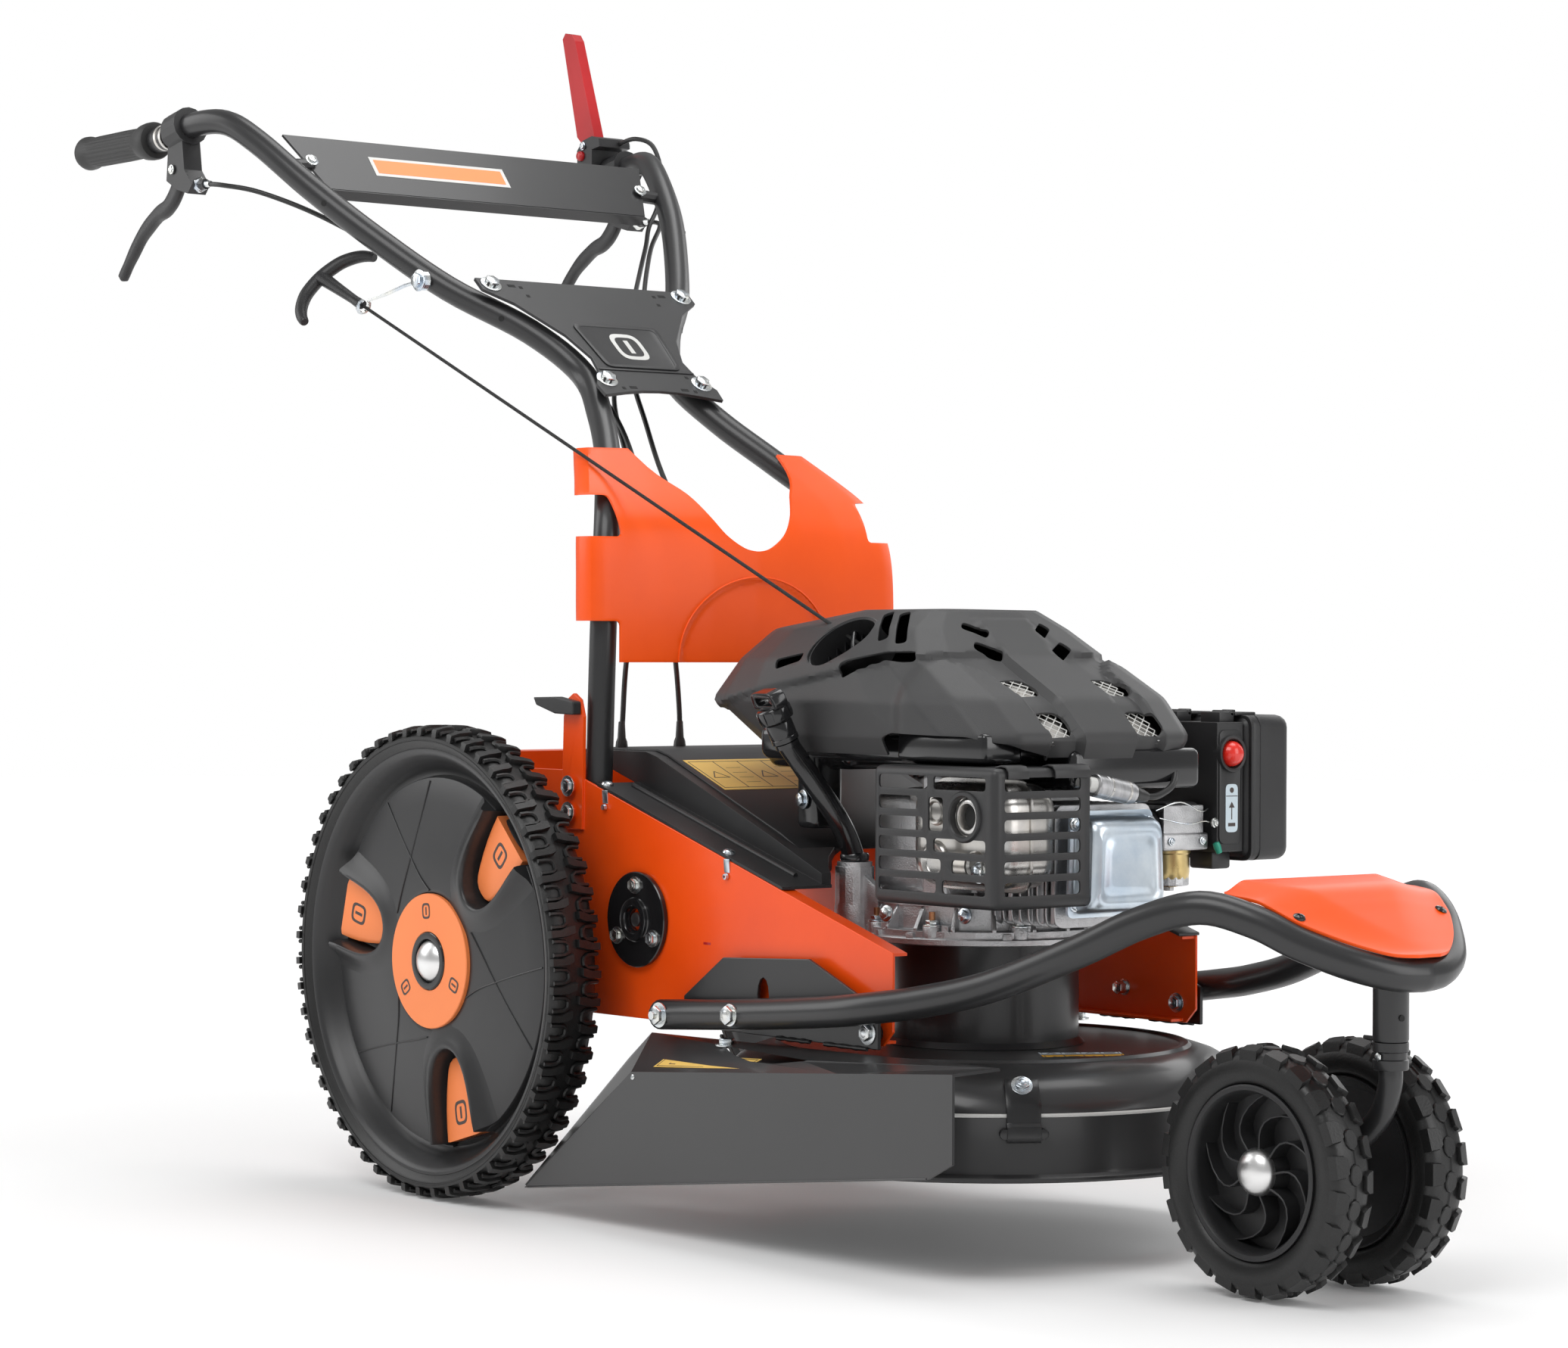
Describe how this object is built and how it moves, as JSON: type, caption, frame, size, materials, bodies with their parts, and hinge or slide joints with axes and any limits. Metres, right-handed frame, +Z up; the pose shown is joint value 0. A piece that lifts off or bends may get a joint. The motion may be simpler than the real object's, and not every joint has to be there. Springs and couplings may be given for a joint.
{
  "type": "brush mower",
  "caption": "Walk-behind brush mower: cutting deck with engine, large rear wheels, twin swivelling front wheels, bumper loop and a swept twin-tube handlebar.",
  "frame": {"origin": "middle of the mower's footprint, on the floor", "axes": "+X the way the mower drives, +Y its left side, +Z up"},
  "size_m": [1.9023, 0.685, 1.384],
  "materials": {
    "orange_paint": "gloss",
    "charcoal_paint": "satin",
    "black_paint": "satin",
    "orange_plastic": "gloss",
    "red_plastic": "gloss",
    "black_plastic": "satin",
    "black_rubber": "matte",
    "red_rubber": "satin",
    "tyre_rubber": "matte",
    "cast_aluminium": "satin",
    "zinc_plate": "satin",
    "bare_steel": "satin",
    "carburettor_brass": "satin",
    "rope_cord": "matte"
  },
  "bodies": {
    "chassis": {"side_plate_right": "orange_paint", "side_plate_left": "orange_paint", "crossmember": "orange_paint", "chassis_cover": "black_plastic", "drive_unit": "cast_aluminium", "bearing_flange_right": "black_paint", "bearing_flange_left": "black_paint", "deck": "charcoal_paint", "neck_drum": "black_paint", "skirt": "charcoal_paint", "deck_bracket_right": "charcoal_paint", "deck_bracket_left": "charcoal_paint", "bumper": "charcoal_paint", "bumper_cover": "orange_plastic", "engine_block": "cast_aluminium", "valve_cover": "zinc_plate", "muffler": "bare_steel", "muffler_guard": "black_paint", "cowl": "black_plastic", "oil_tube": "black_plastic", "carburettor": "carburettor_brass", "filter_base": "black_plastic", "spark_boot": "bare_steel", "starter_rope": "rope_cord"},
    "handlebars": {"handlebar_right": "charcoal_paint", "handlebar_left": "charcoal_paint", "grip_right": "black_rubber", "grip_left": "black_rubber", "lever_housing_right": "black_plastic", "lever_housing_left": "black_plastic", "switch_housing": "black_plastic", "cross_panel": "charcoal_paint", "console": "black_plastic", "shield": "orange_plastic", "rope_guide": "zinc_plate", "drive_cable": "black_rubber", "brake_cable": "black_rubber", "stop_cable": "black_rubber"},
    "rear_wheel_right": {"rear_tyre_right": "tyre_rubber", "rear_rim_right": "black_plastic", "rear_hub_ring_right": "orange_plastic"},
    "rear_wheel_left": {"rear_tyre_left": "tyre_rubber", "rear_rim_left": "black_plastic", "rear_hub_ring_left": "orange_plastic"},
    "caster": {"caster_fork": "charcoal_paint"},
    "front_wheel_right": {"front_tyre_right": "tyre_rubber", "front_rim_right": "black_plastic"},
    "front_wheel_left": {"front_tyre_left": "tyre_rubber", "front_rim_left": "black_plastic"},
    "rotor": {"crankshaft": "bare_steel", "blade": "bare_steel"},
    "drive_lever": {"hand_lever_right": "black_paint"},
    "brake_lever": {"hand_lever_left": "black_paint"},
    "deadman": {"deadman_lever": "red_plastic"},
    "stop_switch": {"stop_button": "red_plastic"},
    "pull_handle": {"starter_handle": "black_plastic"},
    "lock_lever": {"adjust_lever": "black_plastic"},
    "dipstick_cap": {"oil_cap": "black_plastic"},
    "filter_lid": {"filter_cover": "black_plastic"},
    "primer": {"primer_bulb": "red_rubber"}
  },
  "joints": [
    {"name": "handlebar_tilt", "type": "hinge", "parent": "chassis", "child": "handlebars", "pos_m": [-0.08825, 0, 0.418], "axis": [0, 1, 0], "range_deg": [-4, 4], "deforming": ["starter_rope", "drive_cable", "brake_cable", "stop_cable"]},
    {"name": "rear_wheel_right_spin", "type": "hinge", "parent": "chassis", "child": "rear_wheel_right", "pos_m": [-0.21925, -0.285, 0.255], "axis": [0, 1, 0], "continuous": true},
    {"name": "rear_wheel_left_spin", "type": "hinge", "parent": "chassis", "child": "rear_wheel_left", "pos_m": [-0.21925, 0.285, 0.255], "axis": [0, 1, 0], "continuous": true},
    {"name": "caster_swivel", "type": "hinge", "parent": "chassis", "child": "caster", "pos_m": [0.89975, 0, 0.23], "axis": [0, 0, 1], "continuous": true},
    {"name": "front_wheel_right_spin", "type": "hinge", "parent": "caster", "child": "front_wheel_right", "pos_m": [0.80375, -0.0625, 0.117], "axis": [0, 1, 0], "continuous": true},
    {"name": "front_wheel_left_spin", "type": "hinge", "parent": "caster", "child": "front_wheel_left", "pos_m": [0.80375, 0.0625, 0.117], "axis": [0, 1, 0], "continuous": true},
    {"name": "blade_spin", "type": "hinge", "parent": "chassis", "child": "rotor", "pos_m": [0.34075, 0, 0.125], "axis": [0, 0, 1], "continuous": true},
    {"name": "drive_lever_squeeze", "type": "hinge", "parent": "handlebars", "child": "drive_lever", "pos_m": [-0.72725, -0.317, 1.152], "axis": [0, 1, 0], "range_deg": [0, 38], "stiffness_Nm_per_rad": 3, "springref_deg": -11.46},
    {"name": "brake_lever_squeeze", "type": "hinge", "parent": "handlebars", "child": "brake_lever", "pos_m": [-0.72725, 0.317, 1.152], "axis": [0, 1, 0], "range_deg": [0, 38], "stiffness_Nm_per_rad": 3, "springref_deg": -11.46},
    {"name": "deadman_press", "type": "hinge", "parent": "handlebars", "child": "deadman", "pos_m": [-0.75925, 0.303, 1.2315], "axis": [0, -1, 0], "range_deg": [0, 56], "stiffness_Nm_per_rad": 1.5, "springref_deg": -11.46},
    {"name": "stop_button_press", "type": "slide", "parent": "handlebars", "child": "stop_switch", "axis": [0, 1, 0], "range_m": [0, 0.004], "stiffness_N_per_m": 400, "springref_m": -0.003},
    {"name": "starter_pull", "type": "slide", "parent": "handlebars", "child": "pull_handle", "axis": [-0.8798, -0.143, 0.4533], "range_m": [0, 0.25], "stiffness_N_per_m": 40, "springref_m": -0.3},
    {"name": "lock_lever_flip", "type": "hinge", "parent": "chassis", "child": "lock_lever", "pos_m": [-0.08425, -0.2083, 0.529], "axis": [0, 1, 0], "range_deg": [0, 90]},
    {"name": "dipstick_cap_turn", "type": "hinge", "parent": "chassis", "child": "dipstick_cap", "pos_m": [0.23464, -0.18349, 0.52109], "axis": [-0.0908, -0.4087, 0.9082], "range_deg": [0, 90]},
    {"name": "filter_lid_open", "type": "hinge", "parent": "chassis", "child": "filter_lid", "pos_m": [0.42975, 0.2223, 0.378], "axis": [-1, 0, 0], "range_deg": [0, 75]},
    {"name": "primer_press", "type": "slide", "parent": "chassis", "child": "primer", "axis": [-1, 0, 0], "range_m": [0, 0.006], "stiffness_N_per_m": 400, "springref_m": -0.003}
  ]
}
